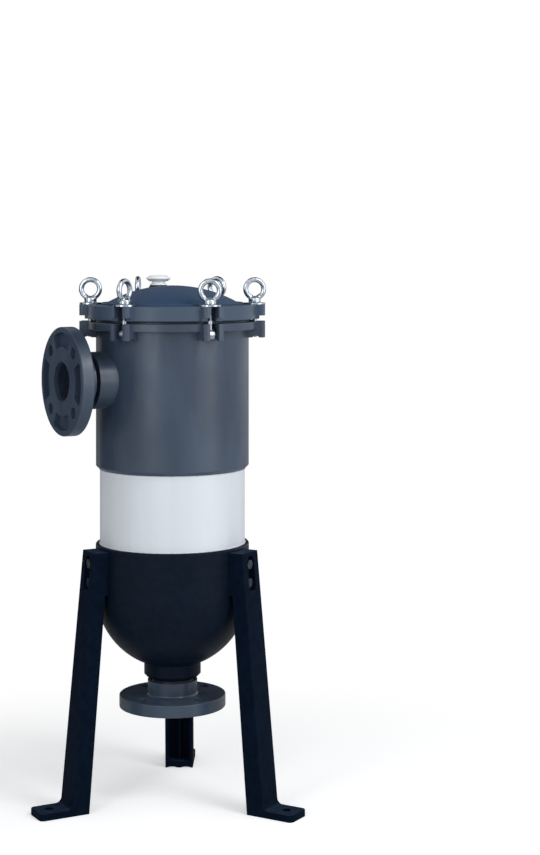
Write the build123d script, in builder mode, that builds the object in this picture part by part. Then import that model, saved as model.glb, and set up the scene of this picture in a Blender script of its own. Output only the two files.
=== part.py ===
from build123d import *
import os
from math import cos, radians, sin, sqrt

# Bag filter housing on three legs, in millimetres, +Z up. The origin is on the vessel's
# axis at the floor. The side inlet points along -X and the outlet straight down.

os.makedirs("parts", exist_ok=True)

# Gaps between pieces
cement_gap = 0.1        # glued or bolted pieces of one body
rest_gap = 0.2          # pieces that rest on each other but come apart
running_gap = 0.05      # a pin or a bolt in its eye, per side

# Pipe ports: DN50 flanges glued on short 63 mm nipples
nipple_r = 31.5
nipple_wall = 3.0
flange_r = 82.5
flange_thickness = 19.0
flange_edge_r = 1.5
flange_hub_wall = 7.0
flange_hub_length = 22.0
flange_hub_fillet = 3.0
flange_bore_step = 1.5  # the bore is this much narrower than the nipple's outside
flange_stop = 6.0       # material left in front of the nipple
flange_hole_r = 9.0
flange_hole_edge = 20.0     # hole centres to the flange's edge
flange_hole_count = 4
pocket_rim = 8.0        # edge of the flange to the moulded pockets
pocket_width = 22.5
pocket_half_angle = 26.0
pocket_depth = 9.0
pocket_corner_r = 3.0
collar_gap = 4.0        # nipple showing between collar and hub
collar_socket_depth = 24.0
inlet_hole_angle = 45.0
outlet_hole_angle = 15.0
outlet_face_z = 141.0
outlet_collar_wall = 12.5
outlet_collar_chamfer = 6.0
outlet_collar_length = 15.5

# Body tube: PVC-U pressure pipe
tube_r = 112.5
tube_wall = 8.6
tube_length = 274.4

# Bowl: round-bottomed lower shell
bowl_socket_wall = 6.4
bowl_wall = 11.0
bowl_step = 5.0         # tube's seat above the middle of the round bottom
bowl_socket_depth = 70.1
bowl_lip_fillet = 2.8

# Head: moulded socket on the tube's upper end, with a lug ring for the clamps
head_socket_wall = 6.1
head_wall = 10.7
head_socket_depth = 89.1
head_height = 228.1     # up to the top of the lug ring
head_chamfer = 5.3
ring_overhang = 13.3
ring_thickness = 12.0
ring_chamfer = 0.8
land_height = 1.85      # sealing land raised inside the slots
inlet_height = 140.1    # inlet's axis above the head's lower edge
inlet_reach = 66.8      # inlet's face out from the head's wall
inlet_collar_wall = 12.0

# Clamps: six swing bolts with eye nuts
clamp_count = 6
clamp_first_angle = 30.0
clamp_inset = 4.0       # bolt circle inside the ring's edge
lug_width = 34.0
lug_reach = 16.0        # bolt circle to the lug's tip
lug_corner_r = 5.0
lug_root = 1.5          # depth of the lug in the wall behind it
lug_drop = 13.0         # head's lugs below the ring
lug_notch_r = 6.5
lug_notch_depth = 3.0
lug_notch_offset = 2.0  # notch further out than the bolt circle
slot_width = 15.0
eye_corner_r = 1.0      # corner left in the bottom of the head's slots
pin_height = 9.0        # above the lug's underside
pin_r = 4.0
pin_length = 31.0
eye_r = 8.7
eye_thickness = 11.0
bolt_r = 4.0
bolt_sink = 0.5         # bolt's end below the inside of the nut's ring
washer_r = 17.0
washer_thickness = 2.3
nut_base_r = 10.0
nut_base_height = 9.0
nut_base_taper = 8.0
nut_ring_r = 14.0       # middle of the ring's wire
nut_wire_r = 4.0
nut_turns = (206.0, 151.0, 241.0, 301.0, 241.0, 251.0)

# Lid: flanged disc with a shallow dome
lid_gap = 4.0           # lid's rim above the head's ring
lid_thickness = 22.0
lid_chamfer = 0.8
dome_inset = 25.0       # foot of the dome inside the ring's edge
dome_height = 29.3
dome_wall = 11.0
lid_lip = 10.0          # lid's sealing land runs this far inside the head's bore
lug_relief_offset = 7.0
lug_relief = 5.0

# Lid seal
seal_wire_r = 2.4
groove_wall_gap = 0.25

# Vent plug on the dome
vent_y = 51.0
vent_stem_r = 10.0
vent_flare = 3.5
vent_cap_overhang = 9.5
vent_cap_height = 4.0
vent_cone_height = 6.0
vent_neck_height = 5.0
vent_stem_depth = 16.0
vent_boss_wall = 5.0
vent_boss_height = 4.0
vent_seal_thickness = 2.0

# Legs: three moulded channels bolted to the bowl
leg_angles = {"leg_front_left": 180.0, "leg_front_right": 300.0, "leg_rear": 60.0}
leg_width = 45.0
leg_edge_r = 1.5
leg_lip_gap = 4.6       # leg's top below the bowl's lip
leg_top_depth = 22.5
leg_spread = 37.5       # the foot stands this much further out than the top
leg_foot_depth = 29.0
leg_pad_height = 65.0
leg_pad_bite = 4.0
leg_wall = 5.0
leg_rib = 4.0
leg_rib_depth = 10.0
foot_length = 49.0
foot_thickness = 10.5
foot_heel_fillet = 9.0
foot_corner_r = 7.0
foot_hole_r = 6.75
foot_hole_edge = 22.0
foot_arch_r = 21.0      # two shallow arches under each foot's inner edge
foot_arch_depth = 1.8
recess_depth_left = 16.0    # recess floor out from the bowl's wall
recess_width = 19.0
recess_bottom_wall = 5.0
recess_top_wall = 5.5
leg_bolt_first = 18.5   # above the pad's lower end
leg_bolt_pitch = 28.0
leg_bolt_r = 4.0
leg_bolt_head_flats = 13.0
leg_bolt_head_height = 5.3
leg_washer_r = 8.2
leg_washer_thickness = 1.6
leg_bolt_bite = 4.0     # depth of the bolt in the bowl's wall

# Bag seat, basket and filter bag
seat_thickness = 12.0
basket_inset = 30.0     # basket's wall inside the tube's outside
basket_wall = 3.0
basket_clearance = 1.0
basket_rim = 13.5
basket_rim_height = 6.0
basket_drop = 35.5      # basket's floor below the middle of the bowl's round bottom
basket_edge_r = 10.0
basket_hole_r = 6.0
basket_columns = 12
basket_rows = 8
basket_row_pitch = 34.0
basket_floor_holes = 8
basket_floor_pcd_r = 50.0
bag_gap = 0.6           # bag to basket wall
bag_wall = 2.4
bag_floor_gap = 1.0
bag_edge_r = 9.0
bag_collar_inset = 5.0
bag_collar_lip = 4.0
bag_collar_wall = 3.0
bag_collar_skirt = 6.0
bag_handle_r = 24.0
bag_handle_wire_r = 3.0

# Sizes that follow from the ones above, from the outlet upwards
flange_hub_r = nipple_r + flange_hub_wall
flange_bore_r = nipple_r - flange_bore_step
flange_hole_pcd_r = flange_r - flange_hole_edge
pocket_outer_r = flange_r - pocket_rim
pocket_inner_r = pocket_outer_r - pocket_width
nipple_socket_r = nipple_r + cement_gap
nipple_bore_r = nipple_r - nipple_wall
inlet_collar_r = nipple_r + inlet_collar_wall
outlet_collar_r = nipple_r + outlet_collar_wall
outlet_hub_z = outlet_face_z + flange_thickness + flange_hub_length
outlet_collar_z = outlet_hub_z + collar_gap

socket_r = tube_r + cement_gap
bowl_r = socket_r + bowl_socket_wall
bowl_inner_r = bowl_r - bowl_wall
bowl_centre_z = outlet_collar_z + outlet_collar_length + bowl_r
bowl_shoulder_z = bowl_centre_z + bowl_step
bowl_lip_z = bowl_shoulder_z + bowl_socket_depth
tube_bottom = bowl_shoulder_z + cement_gap
tube_top = tube_bottom + tube_length
seat_bottom = tube_top + cement_gap
seat_top = seat_bottom + seat_thickness

head_r = socket_r + head_socket_wall
head_bore_r = head_r - head_wall
head_bottom = tube_top - head_socket_depth
head_shoulder_z = seat_top + cement_gap
ring_r = head_r + ring_overhang
ring_top = head_bottom + head_height
ring_bottom = ring_top - ring_thickness
land_top = ring_top + land_height
inlet_z = head_bottom + inlet_height
inlet_face_x = head_r + inlet_reach
inlet_hub_x = inlet_face_x - flange_thickness - flange_hub_length
inlet_collar_x = inlet_hub_x - collar_gap
seal_r = (head_bore_r + head_r) / 2
groove_half = seal_wire_r + groove_wall_gap
seal_z = land_top + rest_gap - seal_wire_r

clamp_angles = [clamp_first_angle + 360 / clamp_count * i for i in range(clamp_count)]
clamp_r = ring_r - clamp_inset
lug_tip_r = clamp_r + lug_reach
lug_root_r = head_r - lug_root
lug_bottom = ring_bottom - lug_drop
lug_notch_z = lug_bottom + lug_notch_depth - lug_notch_r
pin_z = lug_bottom + pin_height

lid_land_z = land_top + 2 * rest_gap
lid_bottom = ring_top + lid_gap
lid_top = lid_bottom + lid_thickness
lid_lip_r = head_bore_r - lid_lip
lug_relief_r = clamp_r + lug_relief_offset
dome_r = ring_r - dome_inset
dome_sphere_r = (dome_r**2 + dome_height**2) / (2 * dome_height)
dome_centre_z = lid_top + dome_height - dome_sphere_r
dome_inner_r = dome_sphere_r - dome_wall
vent_flare_r = vent_stem_r + vent_flare
vent_cap_r = vent_stem_r + vent_cap_overhang
vent_boss_r = vent_stem_r + vent_boss_wall
vent_boss_z = dome_centre_z + sqrt(dome_sphere_r**2 - vent_y**2) + vent_boss_height
vent_shoulder_z = vent_boss_z + 2 * cement_gap + vent_seal_thickness
washer_z = lid_top + rest_gap
nut_z = washer_z + washer_thickness + rest_gap
nut_ring_z = nut_z + nut_ring_r + nut_wire_r
bolt_top = nut_ring_z - nut_ring_r + nut_wire_r - bolt_sink
nut_bore_r = bolt_r + running_gap

leg_top = bowl_lip_z - leg_lip_gap
leg_top_outer_r = bowl_r + leg_top_depth
leg_foot_outer_r = leg_top_outer_r + leg_spread
leg_foot_inner_r = leg_foot_outer_r - leg_foot_depth
leg_pad_bottom = leg_top - leg_pad_height
foot_tip_r = leg_foot_outer_r + foot_length
foot_hole_pcd_r = foot_tip_r - foot_hole_edge
recess_floor_r = bowl_r + recess_depth_left
recess_bottom = leg_pad_bottom + recess_bottom_wall
recess_top = leg_top - recess_top_wall
leg_bolt_heights = (leg_pad_bottom + leg_bolt_first, leg_pad_bottom + leg_bolt_first + leg_bolt_pitch)

basket_r = tube_r - basket_inset
seat_bore_r = basket_r + basket_clearance
basket_inner_r = basket_r - basket_wall
basket_rim_r = basket_r + basket_rim
basket_rim_z = seat_top + rest_gap
basket_bottom = bowl_centre_z - basket_drop
basket_floor_z = basket_bottom + basket_wall
bag_r = basket_inner_r - bag_gap
bag_collar_z = basket_rim_z + basket_rim_height + rest_gap
bag_collar_lip_r = basket_rim_r - bag_collar_inset
bag_bottom = basket_floor_z + bag_floor_gap


def upright(angle):
    """The plane through the axis at this angle: x runs outwards and y runs up."""
    a = radians(angle)
    return Plane(origin=(0, 0, 0), x_dir=(cos(a), sin(a), 0), z_dir=(sin(a), -cos(a), 0))


def level(angle, radius, height):
    """A level plane out at this angle and radius: x runs outwards."""
    a = radians(angle)
    spot = (radius * cos(a), radius * sin(a), height)
    return Plane(origin=spot, x_dir=(cos(a), sin(a), 0), z_dir=(0, 0, 1))


def facing(angle, radius, height):
    """A plane that looks outwards at this angle: x runs sideways and y runs up."""
    a = radians(angle)
    spot = (radius * cos(a), radius * sin(a), height)
    return Plane(origin=spot, x_dir=(-sin(a), cos(a), 0), z_dir=(cos(a), sin(a), 0))


def lug_outline():
    """Plan of one clamp lug, from inside the wall to its tip, drawn from the bolt's centre."""
    length = lug_tip_r - lug_root_r
    root_length = clamp_r - lug_root_r
    with Locations((lug_tip_r - clamp_r - length / 2, 0)):
        RectangleRounded(length, lug_width, lug_corner_r)
    with Locations((-root_length / 2, 0)):
        Rectangle(root_length, lug_width)


def slot_outline(inner_reach, corner_r):
    """Plan of the open slot that the swing bolt folds out of, from the bolt's centre."""
    length = inner_reach + 2 * slot_width
    with Locations((length / 2 - inner_reach, 0)):
        RectangleRounded(length, slot_width, corner_r)


def flange(face, hole_angle):
    """A glued pipe flange: the face plane's normal points out of the port."""
    with BuildPart() as body:
        with BuildSketch(face):
            Circle(flange_r)
        extrude(amount=-flange_thickness)
        fillet(body.edges().filter_by(GeomType.CIRCLE), flange_edge_r)
        back = face.offset(-flange_thickness)
        with BuildSketch(back):
            Circle(flange_hub_r)
        extrude(amount=-flange_hub_length)
        hub_foot = body.edges().filter_by(GeomType.CIRCLE).sort_by_distance(back.origin)[0]
        fillet(hub_foot, flange_hub_fillet)
        with BuildSketch(face):
            Circle(flange_bore_r)
        extrude(amount=-flange_thickness - flange_hub_length, mode=Mode.SUBTRACT)
        with BuildSketch(face.offset(-flange_stop)):
            Circle(nipple_socket_r)
        extrude(amount=-flange_thickness - flange_hub_length, mode=Mode.SUBTRACT)
        with BuildSketch(face):
            with PolarLocations(flange_hole_pcd_r, flange_hole_count, start_angle=hole_angle):
                Circle(flange_hole_r)
        extrude(amount=-flange_thickness, mode=Mode.SUBTRACT)
        first_pocket = hole_angle - 180 / flange_hole_count
        with BuildSketch(face) as pockets:
            with PolarLocations(0, flange_hole_count, start_angle=first_pocket):
                with BuildLine(mode=Mode.PRIVATE) as edge:
                    outer = CenterArc((0, 0), pocket_outer_r, -pocket_half_angle, 2 * pocket_half_angle)
                    inner = CenterArc((0, 0), pocket_inner_r, -pocket_half_angle, 2 * pocket_half_angle)
                    Line(outer @ 0, inner @ 0)
                    Line(outer @ 1, inner @ 1)
                add(make_face(edge.edges(), mode=Mode.PRIVATE))
            fillet(pockets.vertices(), pocket_corner_r)
        extrude(amount=-pocket_depth, mode=Mode.SUBTRACT)
    return body


# Body tube, glued into the head above and the bowl below
with BuildPart() as body_tube:
    with BuildSketch(Plane.XY.offset(tube_bottom)):
        Circle(tube_r)
        Circle(tube_r - tube_wall, mode=Mode.SUBTRACT)
    extrude(amount=tube_top - tube_bottom)
body_tube.part.label = "body_tube"
export_step(body_tube.part, "parts/body_tube.step")

# Head: socket for the tube below, thick-walled inlet chamber above, lug ring at the top
with BuildPart() as head:
    with BuildSketch(Plane.XZ):
        with BuildLine():
            Polyline(
                (socket_r, head_bottom),
                (head_r - head_chamfer, head_bottom),
                (head_r, head_bottom + head_chamfer),
                (head_r, ring_bottom),
                (ring_r - ring_chamfer, ring_bottom),
                (ring_r, ring_bottom + ring_chamfer),
                (ring_r, ring_top - ring_chamfer),
                (ring_r - ring_chamfer, ring_top),
                (head_r, ring_top),
                (head_r, land_top),
                (seal_r + groove_half, land_top),
                (seal_r + groove_half, seal_z - seal_wire_r - cement_gap),
                (seal_r - groove_half, seal_z - seal_wire_r - cement_gap),
                (seal_r - groove_half, land_top),
                (head_bore_r, land_top),
                (head_bore_r, head_shoulder_z),
                (socket_r, head_shoulder_z),
                close=True,
            )
        make_face()
    revolve(axis=Axis.Z)
    for angle in clamp_angles:
        with BuildSketch(level(angle, clamp_r, lug_bottom)):
            lug_outline()
        extrude(amount=ring_top - lug_bottom)
    with BuildSketch(Plane.XY.offset(lug_bottom)):
        Circle(head_bore_r)
    extrude(amount=ring_top - lug_bottom, mode=Mode.SUBTRACT)
    for angle in clamp_angles:
        with BuildSketch(level(angle, clamp_r, lug_bottom)):
            slot_outline(clamp_r - head_r, eye_corner_r)
        extrude(amount=ring_top - lug_bottom, mode=Mode.SUBTRACT)
        with BuildSketch(upright(angle)):
            with Locations((clamp_r, pin_z)):
                Circle(pin_r + running_gap)
        extrude(amount=pin_length / 2, both=True, mode=Mode.SUBTRACT)
        with BuildSketch(upright(angle)):
            with Locations((clamp_r + lug_notch_offset, lug_notch_z)):
                Circle(lug_notch_r)
        extrude(amount=lug_width, both=True, mode=Mode.SUBTRACT)
    with BuildSketch(facing(180, inlet_collar_x, inlet_z)):
        Circle(inlet_collar_r)
    extrude(until=Until.NEXT, dir=(1, 0, 0))
    with BuildSketch(facing(180, inlet_collar_x, inlet_z)):
        Circle(nipple_socket_r)
    extrude(amount=-collar_socket_depth, mode=Mode.SUBTRACT)
    with BuildSketch(facing(180, inlet_collar_x, inlet_z)):
        Circle(nipple_bore_r)
    extrude(amount=-inlet_collar_x, mode=Mode.SUBTRACT)
head.part.label = "head"
export_step(head.part, "parts/head.step")

# Bowl: socket for the tube, round bottom, and the outlet collar under it
with BuildPart() as bowl:
    with BuildSketch(Plane.XZ):
        with BuildLine():
            Line((0, bowl_centre_z - bowl_inner_r), (0, bowl_centre_z - bowl_r))
            CenterArc((0, bowl_centre_z), bowl_r, -90, 90)
            Line((bowl_r, bowl_centre_z), (bowl_r, bowl_lip_z))
            Line((bowl_r, bowl_lip_z), (socket_r, bowl_lip_z))
            Line((socket_r, bowl_lip_z), (socket_r, bowl_shoulder_z))
            Line((socket_r, bowl_shoulder_z), (bowl_inner_r, bowl_shoulder_z))
            Line((bowl_inner_r, bowl_shoulder_z), (bowl_inner_r, bowl_centre_z))
            CenterArc((0, bowl_centre_z), bowl_inner_r, 0, -90)
        make_face()
    revolve(axis=Axis.Z)
    lip_edge = bowl.edges().filter_by(GeomType.CIRCLE).group_by(Axis.Z)[-1].sort_by(SortBy.RADIUS)[-1]
    fillet(lip_edge, bowl_lip_fillet)
    with BuildSketch(Plane.XY.offset(outlet_collar_z)):
        Circle(outlet_collar_r)
    extrude(until=Until.NEXT, dir=(0, 0, 1))
    chamfer(bowl.edges().filter_by(GeomType.CIRCLE).group_by(Axis.Z)[0], outlet_collar_chamfer)
    with BuildSketch(Plane.XY.offset(outlet_collar_z)):
        Circle(nipple_socket_r)
    extrude(amount=collar_socket_depth, mode=Mode.SUBTRACT)
    with BuildSketch(Plane.XY.offset(outlet_collar_z)):
        Circle(nipple_bore_r)
    extrude(amount=2 * collar_socket_depth, mode=Mode.SUBTRACT)
    for angle in leg_angles.values():
        with BuildSketch(facing(angle, bowl_r, 0)):
            with Locations(*[(0, z) for z in leg_bolt_heights]):
                Circle(leg_bolt_r + cement_gap)
        extrude(amount=leg_bolt_bite, both=True, mode=Mode.SUBTRACT)
bowl.part.label = "bowl"
export_step(bowl.part, "parts/bowl.step")

# Inlet: flange and nipple, glued into the head's collar
inlet_flange = flange(facing(180, inlet_face_x, inlet_z), inlet_hole_angle)
inlet_flange.part.label = "inlet_flange"
export_step(inlet_flange.part, "parts/inlet_flange.step")

with BuildPart() as inlet_nipple:
    with BuildSketch(facing(180, inlet_face_x - flange_stop - cement_gap, inlet_z)):
        Circle(nipple_r)
        Circle(nipple_bore_r, mode=Mode.SUBTRACT)
    inlet_nipple_end = inlet_collar_x - collar_socket_depth + cement_gap
    extrude(amount=inlet_nipple_end - (inlet_face_x - flange_stop - cement_gap))
inlet_nipple.part.label = "inlet_nipple"
export_step(inlet_nipple.part, "parts/inlet_nipple.step")

# Outlet: the same flange looking down, on a nipple in the bowl's collar
outlet_plane = Plane(origin=(0, 0, outlet_face_z), x_dir=(1, 0, 0), z_dir=(0, 0, -1))
outlet_flange = flange(outlet_plane, -outlet_hole_angle)
outlet_flange.part.label = "outlet_flange"
export_step(outlet_flange.part, "parts/outlet_flange.step")

with BuildPart() as outlet_nipple:
    with BuildSketch(Plane.XY.offset(outlet_face_z + flange_stop + cement_gap)):
        Circle(nipple_r)
        Circle(nipple_bore_r, mode=Mode.SUBTRACT)
    outlet_nipple_end = outlet_collar_z + collar_socket_depth - cement_gap
    extrude(amount=outlet_nipple_end - (outlet_face_z + flange_stop + cement_gap))
outlet_nipple.part.label = "outlet_nipple"
export_step(outlet_nipple.part, "parts/outlet_nipple.step")

# Legs: a channel open towards the vessel, a saddle pad on the bowl and a flat foot
lean = leg_spread / leg_top
heel = Vector(leg_foot_outer_r - lean * foot_thickness, foot_thickness)
channel_top = leg_pad_bottom - leg_wall
channel_foot_r = leg_foot_outer_r - leg_wall
rib_foot_r = leg_foot_outer_r - leg_wall - leg_rib_depth
for node, angle in leg_angles.items():
    with BuildPart() as leg:
        with BuildSketch(upright(angle)) as side:
            with BuildLine():
                Polyline(
                    (leg_foot_inner_r, 0),
                    (foot_tip_r, 0),
                    (foot_tip_r, foot_thickness),
                    (heel.X, heel.Y),
                    (leg_top_outer_r, leg_top),
                    (bowl_r - leg_pad_bite, leg_top),
                    (bowl_r - leg_pad_bite, leg_pad_bottom),
                    (bowl_r + leg_wall, leg_pad_bottom),
                    close=True,
                )
            make_face()
            fillet(side.vertices().sort_by_distance(heel)[0], foot_heel_fillet)
        extrude(amount=leg_width / 2, both=True)
        foot_tip = level(angle, foot_tip_r, 0).origin
        tip_edges = leg.edges().filter_by(Axis.Z).sort_by_distance(foot_tip)[:2]
        fillet(tip_edges, foot_corner_r)
        outer_middle = level(angle, (leg_top_outer_r + leg_foot_outer_r) / 2, leg_top / 2).origin
        outer_face = leg.faces().sort_by_distance(outer_middle)[0]
        fillet(outer_face.edges().sort_by(SortBy.LENGTH)[-2:], leg_edge_r)
        with BuildSketch(Plane.XY):
            Circle(bowl_r + cement_gap)
        extrude(amount=leg_top, mode=Mode.SUBTRACT)
        # The channel between the two side walls, with a rib left down its middle
        with BuildSketch(upright(angle)):
            with BuildLine():
                Polyline(
                    (leg_foot_inner_r - leg_width, foot_thickness),
                    (channel_foot_r - lean * foot_thickness, foot_thickness),
                    (channel_foot_r - lean * channel_top, channel_top),
                    (bowl_r - leg_width, channel_top),
                    close=True,
                )
            make_face()
        extrude(amount=leg_width / 2 - leg_wall, both=True, mode=Mode.SUBTRACT)
        with BuildSketch(upright(angle)):
            with BuildLine():
                Polyline(
                    (rib_foot_r - lean * foot_thickness, foot_thickness),
                    (channel_foot_r - lean * foot_thickness, foot_thickness),
                    (channel_foot_r - lean * channel_top, channel_top),
                    (rib_foot_r - lean * channel_top, channel_top),
                    close=True,
                )
            make_face()
        extrude(amount=leg_rib / 2, both=True)
        # Two shallow arches under the foot's inner edge
        with BuildSketch(facing(angle, leg_foot_inner_r - leg_wall, foot_arch_depth - foot_arch_r)):
            with Locations((-leg_width / 4, 0), (leg_width / 4, 0)):
                Circle(foot_arch_r)
        extrude(amount=leg_foot_depth, mode=Mode.SUBTRACT)
        # The recess that the two bolt heads sit in, and their holes
        with BuildSketch(facing(angle, recess_floor_r, (recess_bottom + recess_top) / 2)):
            SlotCenterToCenter(recess_top - recess_bottom - recess_width, recess_width, rotation=90)
        extrude(amount=foot_tip_r - recess_floor_r, mode=Mode.SUBTRACT)
        with BuildSketch(facing(angle, recess_floor_r, 0)):
            with Locations(*[(0, z) for z in leg_bolt_heights]):
                Circle(leg_bolt_r + cement_gap)
        extrude(amount=bowl_r - leg_wall - recess_floor_r, mode=Mode.SUBTRACT)
        with BuildSketch(level(angle, foot_hole_pcd_r, foot_thickness)):
            Circle(foot_hole_r)
        extrude(amount=-foot_thickness, mode=Mode.SUBTRACT)
    leg.part.label = node
    export_step(leg.part, f"parts/{node}.step")

# Leg bolts: a hexagon head on a washer in each recess, and a shank into the bowl's wall
with BuildPart() as leg_bolts:
    for angle in leg_angles.values():
        head_plane = facing(angle, recess_floor_r + leg_washer_thickness + 2 * cement_gap, 0)
        with BuildSketch(head_plane):
            with Locations(*[(0, z) for z in leg_bolt_heights]):
                RegularPolygon(leg_bolt_head_flats / 2, 6, major_radius=False)
        extrude(amount=leg_bolt_head_height)
        with BuildSketch(head_plane):
            with Locations(*[(0, z) for z in leg_bolt_heights]):
                Circle(leg_bolt_r)
        reach = recess_floor_r + leg_washer_thickness - (bowl_r - leg_bolt_bite + 2 * cement_gap)
        extrude(amount=-reach)
leg_bolts.part.label = "leg_bolts"
export_step(leg_bolts.part, "parts/leg_bolts.step")

with BuildPart() as leg_washers:
    for angle in leg_angles.values():
        with BuildSketch(facing(angle, recess_floor_r + cement_gap, 0)):
            with Locations(*[(0, z) for z in leg_bolt_heights]):
                Circle(leg_washer_r)
                Circle(leg_bolt_r + cement_gap, mode=Mode.SUBTRACT)
        extrude(amount=leg_washer_thickness)
leg_washers.part.label = "leg_washers"
export_step(leg_washers.part, "parts/leg_washers.step")

# Clamp pins: one through the two cheeks of every lug
with BuildPart() as clamp_pins:
    for angle in clamp_angles:
        with BuildSketch(upright(angle)):
            with Locations((clamp_r, pin_z)):
                Circle(pin_r)
        extrude(amount=pin_length / 2 - running_gap, both=True)
clamp_pins.part.label = "clamp_pins"
export_step(clamp_pins.part, "parts/clamp_pins.step")

# Lid seal: an O-ring in the groove on the head's land
with BuildPart() as lid_seal:
    with BuildSketch(Plane.XZ):
        with Locations((seal_r, seal_z)):
            Circle(seal_wire_r)
    revolve(axis=Axis.Z)
lid_seal.part.label = "lid_seal"
export_step(lid_seal.part, "parts/lid_seal.step")

# Lid: flat flange with six slotted lugs, a shallow dome and a hollow underside
with BuildPart() as lid:
    dome_top = (0, lid_top + dome_height)
    dome_foot = (dome_r, lid_top)
    hollow_foot_z = dome_centre_z + sqrt(dome_inner_r**2 - lid_lip_r**2)
    with BuildSketch(Plane.XZ):
        with BuildLine():
            RadiusArc(dome_top, dome_foot, dome_sphere_r)
            Polyline(
                dome_foot,
                (ring_r - lid_chamfer, lid_top),
                (ring_r, lid_top - lid_chamfer),
                (ring_r, lid_bottom + lid_chamfer),
                (ring_r - lid_chamfer, lid_bottom),
                (head_r, lid_bottom),
                (head_r, lid_land_z),
                (lid_lip_r, lid_land_z),
                (lid_lip_r, hollow_foot_z),
            )
            RadiusArc((0, dome_centre_z + dome_inner_r), (lid_lip_r, hollow_foot_z), dome_inner_r)
            Line((0, dome_centre_z + dome_inner_r), dome_top)
        make_face()
    revolve(axis=Axis.Z)
    for angle in clamp_angles:
        with BuildSketch(level(angle, clamp_r, lid_bottom)):
            lug_outline()
        extrude(amount=lid_top - lid_bottom)
    for angle in clamp_angles:
        with BuildSketch(level(angle, clamp_r, lid_bottom)):
            slot_outline(slot_width / 2, slot_width / 2 - eye_corner_r)
        extrude(amount=lid_top - lid_bottom, mode=Mode.SUBTRACT)
        with BuildSketch(level(angle, (lug_relief_r + lug_tip_r) / 2 + lug_corner_r, lid_bottom)):
            Rectangle(lug_tip_r - lug_relief_r + 2 * lug_corner_r, 2 * lug_width)
        extrude(amount=lug_relief, mode=Mode.SUBTRACT)
    with BuildSketch(Plane.XY.offset(vent_boss_z)):
        with Locations((0, vent_y)):
            Circle(vent_boss_r)
    extrude(amount=-2 * vent_boss_height - dome_wall / 2)
    with BuildSketch(Plane.XY.offset(vent_boss_z)):
        with Locations((0, vent_y)):
            Circle(vent_stem_r + running_gap)
    extrude(amount=-2 * dome_wall - 2 * vent_boss_height, mode=Mode.SUBTRACT)
lid.part.label = "lid"
export_step(lid.part, "parts/lid.step")

# Vent plug: a hand-turned mushroom cap on a screwed stem, with a flat seal under it
with BuildPart() as vent_plug:
    neck_z = vent_shoulder_z + vent_neck_height
    cap_z = neck_z + vent_cone_height
    with BuildSketch(Plane.YZ):
        with BuildLine():
            Polyline(
                (vent_y, vent_boss_z - vent_stem_depth),
                (vent_y + vent_stem_r, vent_boss_z - vent_stem_depth),
                (vent_y + vent_stem_r, vent_shoulder_z),
                (vent_y + vent_flare_r, vent_shoulder_z),
                (vent_y + vent_flare_r, vent_shoulder_z + vent_seal_thickness),
                (vent_y + vent_stem_r, vent_shoulder_z + 2 * vent_seal_thickness),
                (vent_y + vent_stem_r, neck_z),
                (vent_y + vent_cap_r, cap_z),
                (vent_y + vent_cap_r, cap_z + vent_cap_height),
                (vent_y, cap_z + vent_cap_height),
                close=True,
            )
        make_face()
    revolve(axis=Axis((0, vent_y, 0), (0, 0, 1)))
vent_plug.part.label = "vent_plug"
export_step(vent_plug.part, "parts/vent_plug.step")

with BuildPart() as vent_seal:
    with BuildSketch(Plane.XY.offset(vent_boss_z + cement_gap)):
        with Locations((0, vent_y)):
            Circle(vent_flare_r)
            Circle(vent_stem_r + cement_gap, mode=Mode.SUBTRACT)
    extrude(amount=vent_seal_thickness)
vent_seal.part.label = "vent_seal"
export_step(vent_seal.part, "parts/vent_seal.step")

# Swing bolts: a round eye on the lug's pin and a straight shank up through both slots
for number, angle in enumerate(clamp_angles, 1):
    with BuildPart() as swing_bolt:
        with BuildSketch(upright(angle)):
            with Locations((clamp_r, pin_z)):
                Circle(eye_r)
        extrude(amount=eye_thickness / 2, both=True)
        with BuildSketch(level(angle, clamp_r, pin_z)):
            Circle(bolt_r)
        extrude(amount=bolt_top - pin_z)
        with BuildSketch(upright(angle)):
            with Locations((clamp_r, pin_z)):
                Circle(pin_r + running_gap)
        extrude(amount=eye_thickness, both=True, mode=Mode.SUBTRACT)
    swing_bolt.part.label = f"swing_bolt_{number}"
    export_step(swing_bolt.part, f"parts/swing_bolt_{number}.step")

# Clamp washers: wide plain washers that bridge the lid's slots
for number, angle in enumerate(clamp_angles, 1):
    with BuildPart() as clamp_washer:
        with BuildSketch(level(angle, clamp_r, washer_z)):
            Circle(washer_r)
            Circle(bolt_r + cement_gap, mode=Mode.SUBTRACT)
        extrude(amount=washer_thickness)
    clamp_washer.part.label = f"clamp_washer_{number}"
    export_step(clamp_washer.part, f"parts/clamp_washer_{number}.step")

# Eye nuts: a round base and a ring to turn it by, each left standing at its own angle
for number, (angle, turn) in enumerate(zip(clamp_angles, nut_turns), 1):
    centre = level(angle, clamp_r, nut_ring_z).origin
    ring_axis = (cos(radians(turn)), sin(radians(turn)), 0)
    sideways = (-sin(radians(turn)), cos(radians(turn)), 0)
    with BuildPart() as eye_nut:
        with BuildSketch(level(angle, clamp_r, nut_z)):
            Circle(nut_base_r)
        extrude(amount=nut_base_height, taper=nut_base_taper)
        with BuildSketch(Plane(origin=centre, x_dir=sideways, z_dir=(0, 0, 1))):
            with Locations((nut_ring_r, 0)):
                Circle(nut_wire_r)
        revolve(axis=Axis(centre, ring_axis))
        with BuildSketch(level(angle, clamp_r, nut_z)):
            Circle(nut_bore_r)
        extrude(amount=nut_ring_r, mode=Mode.SUBTRACT)
    eye_nut.part.label = f"eye_nut_{number}"
    export_step(eye_nut.part, f"parts/eye_nut_{number}.step")

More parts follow.
